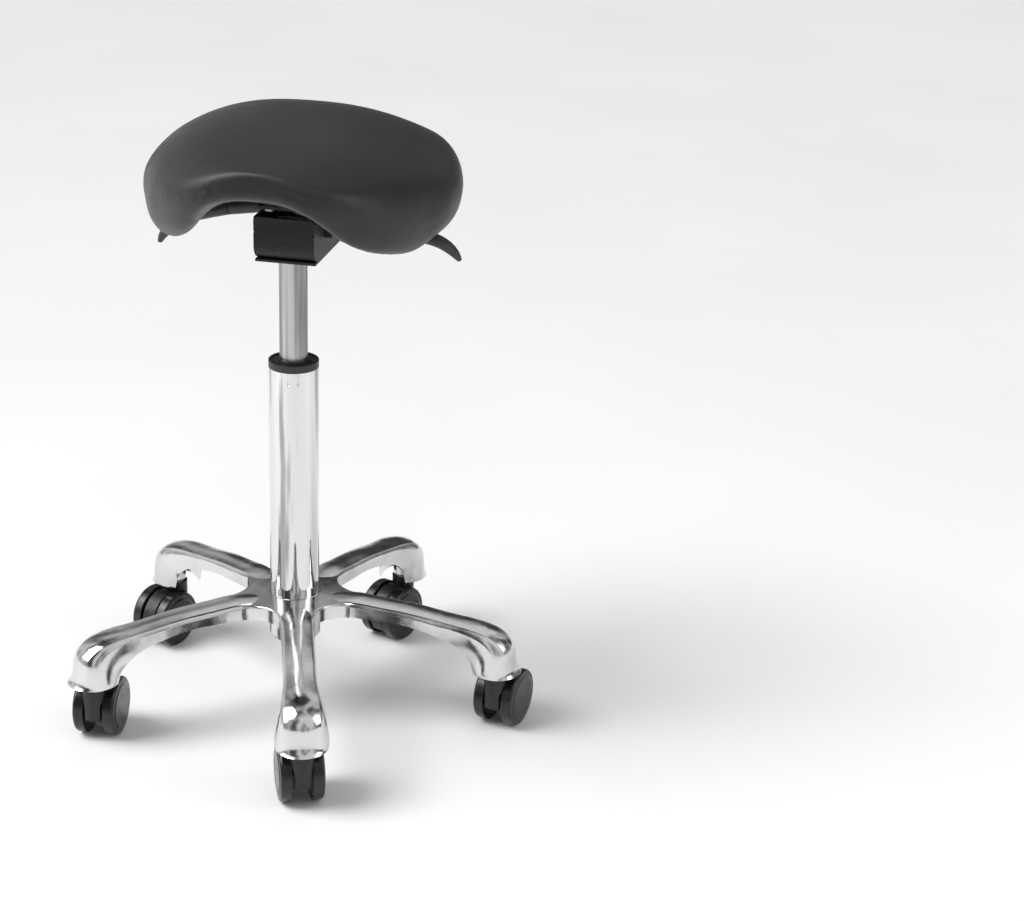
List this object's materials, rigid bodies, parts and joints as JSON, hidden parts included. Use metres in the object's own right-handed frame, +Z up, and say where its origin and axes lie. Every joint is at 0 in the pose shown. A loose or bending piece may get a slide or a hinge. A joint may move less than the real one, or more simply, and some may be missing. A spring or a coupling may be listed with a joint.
{
  "type": "saddle stool",
  "caption": "Height-adjustable saddle stool with a tilting leather saddle seat, gas-spring column and a castored star base.",
  "frame": {"origin": "on the floor under the castors, on the column's axis", "axes": "+Z up along the column; -Y is the way the narrow arched front of the saddle faces; +X is to the right seen from the front"},
  "size_m": [0.4557, 0.4581, 0.6341],
  "materials": {
    "cover": "smooth black upholstery leather with a soft sheen",
    "foam": "moulded polyurethane foam",
    "pan": "moulded black seat shell",
    "black_steel": "black powder coat, low sheen",
    "satin_steel": "satin ground steel",
    "zinc": "zinc plated",
    "bright": "polished chrome plate",
    "cast": "polished cast aluminium",
    "black_plastic": "moulded black plastic",
    "wheel": "moulded black plastic with a satin face",
    "rubber": "moulded rubber",
    "bush": "natural bearing plastic"
  },
  "bodies": {
    "base": {"star_base": "cast", "castor_bushes": "zinc", "column_tube": "bright", "guide_sleeve": "bush", "column_collar": "black_plastic", "thrust_bearing": "zinc"},
    "rod": {"piston_rod": "satin_steel", "piston": "bush", "buffer_ring": "rubber", "retaining_clip": "zinc"},
    "mechanism": {"gas_cylinder": "satin_steel", "cylinder_gland": "black_plastic", "mechanism_housing": "black_steel", "bottom_plate": "black_steel", "taper_socket": "black_steel", "pivot_pin": "zinc", "pivot_clip": "zinc", "clamp_bolt": "zinc", "clamp_spacer": "zinc", "clamp_washers": "zinc", "clamp_nut": "zinc", "cam_pin": "zinc", "lever_boss": "black_steel", "lever_pin": "zinc"},
    "button": {"release_button": "satin_steel"},
    "height_handle": {"height_lever": "zinc", "height_grip": "black_plastic"},
    "tilt_handle": {"tilt_lever": "black_steel", "tilt_grip": "black_plastic"},
    "seat": {"seat_bracket": "black_steel", "tilt_bushes": "bush", "seat_bolts": "zinc", "seat_pan": "pan", "seat_foam": "foam", "seat_cover": "cover"},
    "castor_1": {"castor_1_stem": "zinc", "castor_1_body": "black_plastic", "castor_1_axle": "zinc"},
    "castor_1_left": {"castor_1_wheel_left": "wheel"},
    "castor_1_right": {"castor_1_wheel_right": "wheel"},
    "castor_2": {"castor_2_stem": "zinc", "castor_2_body": "black_plastic", "castor_2_axle": "zinc"},
    "castor_2_left": {"castor_2_wheel_left": "wheel"},
    "castor_2_right": {"castor_2_wheel_right": "wheel"},
    "castor_3": {"castor_3_stem": "zinc", "castor_3_body": "black_plastic", "castor_3_axle": "zinc"},
    "castor_3_left": {"castor_3_wheel_left": "wheel"},
    "castor_3_right": {"castor_3_wheel_right": "wheel"},
    "castor_4": {"castor_4_stem": "zinc", "castor_4_body": "black_plastic", "castor_4_axle": "zinc"},
    "castor_4_left": {"castor_4_wheel_left": "wheel"},
    "castor_4_right": {"castor_4_wheel_right": "wheel"},
    "castor_5": {"castor_5_stem": "zinc", "castor_5_body": "black_plastic", "castor_5_axle": "zinc"},
    "castor_5_left": {"castor_5_wheel_left": "wheel"},
    "castor_5_right": {"castor_5_wheel_right": "wheel"}
  },
  "joints": [
    {"name": "seat_swivel", "type": "hinge", "parent": "base", "child": "rod", "pos_m": [0, 0, 0.085], "axis": [0, 0, 1], "continuous": true},
    {"name": "seat_height", "type": "slide", "parent": "rod", "child": "mechanism", "axis": [0, 0, 1], "range_m": [-0.078, 0.104]},
    {"name": "seat_tilt", "type": "hinge", "parent": "mechanism", "child": "seat", "pos_m": [0, 0.032, 0.517], "axis": [1, 0, 0], "range_deg": [-8, 6]},
    {"name": "height_lever_pull", "type": "hinge", "parent": "mechanism", "child": "height_handle", "pos_m": [0.0335, 0.015, 0.515], "axis": [0, -1, 0], "range_deg": [0, 4.5], "stiffness_Nm_per_rad": 4, "springref_deg": -6.88},
    {"name": "button_press", "type": "slide", "parent": "mechanism", "child": "button", "axis": [0, 0, -1], "range_m": [0, 0.0031]},
    {"name": "tilt_lever_release", "type": "hinge", "parent": "mechanism", "child": "tilt_handle", "pos_m": [-0.04, 0.078, 0.517], "axis": [0, 1, 0], "range_deg": [0, 12]},
    {"name": "castor_1_swivel", "type": "hinge", "parent": "base", "child": "castor_1", "pos_m": [0.06598, -0.20305, 0.0665], "axis": [0, 0, 1], "continuous": true},
    {"name": "castor_1_roll_left", "type": "hinge", "parent": "castor_1", "child": "castor_1_left", "pos_m": [0.05794, -0.18474, 0.03], "axis": [-0.9157, -0.4019, 0], "continuous": true},
    {"name": "castor_1_roll_right", "type": "hinge", "parent": "castor_1", "child": "castor_1_right", "pos_m": [0.05794, -0.18474, 0.03], "axis": [-0.9157, -0.4019, 0], "continuous": true},
    {"name": "castor_2_swivel", "type": "hinge", "parent": "base", "child": "castor_2", "pos_m": [0.2135, 0, 0.0665], "axis": [0, 0, 1], "continuous": true},
    {"name": "castor_2_roll_left", "type": "hinge", "parent": "castor_2", "child": "castor_2_left", "pos_m": [0.2182, 0.01944, 0.03], "axis": [-0.972, 0.2351, 0], "continuous": true},
    {"name": "castor_2_roll_right", "type": "hinge", "parent": "castor_2", "child": "castor_2_right", "pos_m": [0.2182, 0.01944, 0.03], "axis": [-0.972, 0.2351, 0], "continuous": true},
    {"name": "castor_3_swivel", "type": "hinge", "parent": "base", "child": "castor_3", "pos_m": [0.06598, 0.20305, 0.0665], "axis": [0, 0, 1], "continuous": true},
    {"name": "castor_3_roll_left", "type": "hinge", "parent": "castor_3", "child": "castor_3_left", "pos_m": [0.05768, 0.18485, 0.03], "axis": [0.91, -0.4147, 0], "continuous": true},
    {"name": "castor_3_roll_right", "type": "hinge", "parent": "castor_3", "child": "castor_3_right", "pos_m": [0.05768, 0.18485, 0.03], "axis": [0.91, -0.4147, 0], "continuous": true},
    {"name": "castor_4_swivel", "type": "hinge", "parent": "base", "child": "castor_4", "pos_m": [-0.17272, 0.12549, 0.0665], "axis": [0, 0, 1], "continuous": true},
    {"name": "castor_4_roll_left", "type": "hinge", "parent": "castor_4", "child": "castor_4_left", "pos_m": [-0.18009, 0.1069, 0.03], "axis": [0.9298, -0.3681, 0], "continuous": true},
    {"name": "castor_4_roll_right", "type": "hinge", "parent": "castor_4", "child": "castor_4_right", "pos_m": [-0.18009, 0.1069, 0.03], "axis": [0.9298, -0.3681, 0], "continuous": true},
    {"name": "castor_5_swivel", "type": "hinge", "parent": "base", "child": "castor_5", "pos_m": [-0.17272, -0.12549, 0.0665], "axis": [0, 0, 1], "continuous": true},
    {"name": "castor_5_roll_left", "type": "hinge", "parent": "castor_5", "child": "castor_5_left", "pos_m": [-0.17356, -0.10551, 0.03], "axis": [-0.9991, -0.0419, 0], "continuous": true},
    {"name": "castor_5_roll_right", "type": "hinge", "parent": "castor_5", "child": "castor_5_right", "pos_m": [-0.17356, -0.10551, 0.03], "axis": [-0.9991, -0.0419, 0], "continuous": true}
  ],
  "couplings": [
    {"joint": "button_press", "follows": "height_lever_pull", "m_per_rad": 0.037}
  ]
}
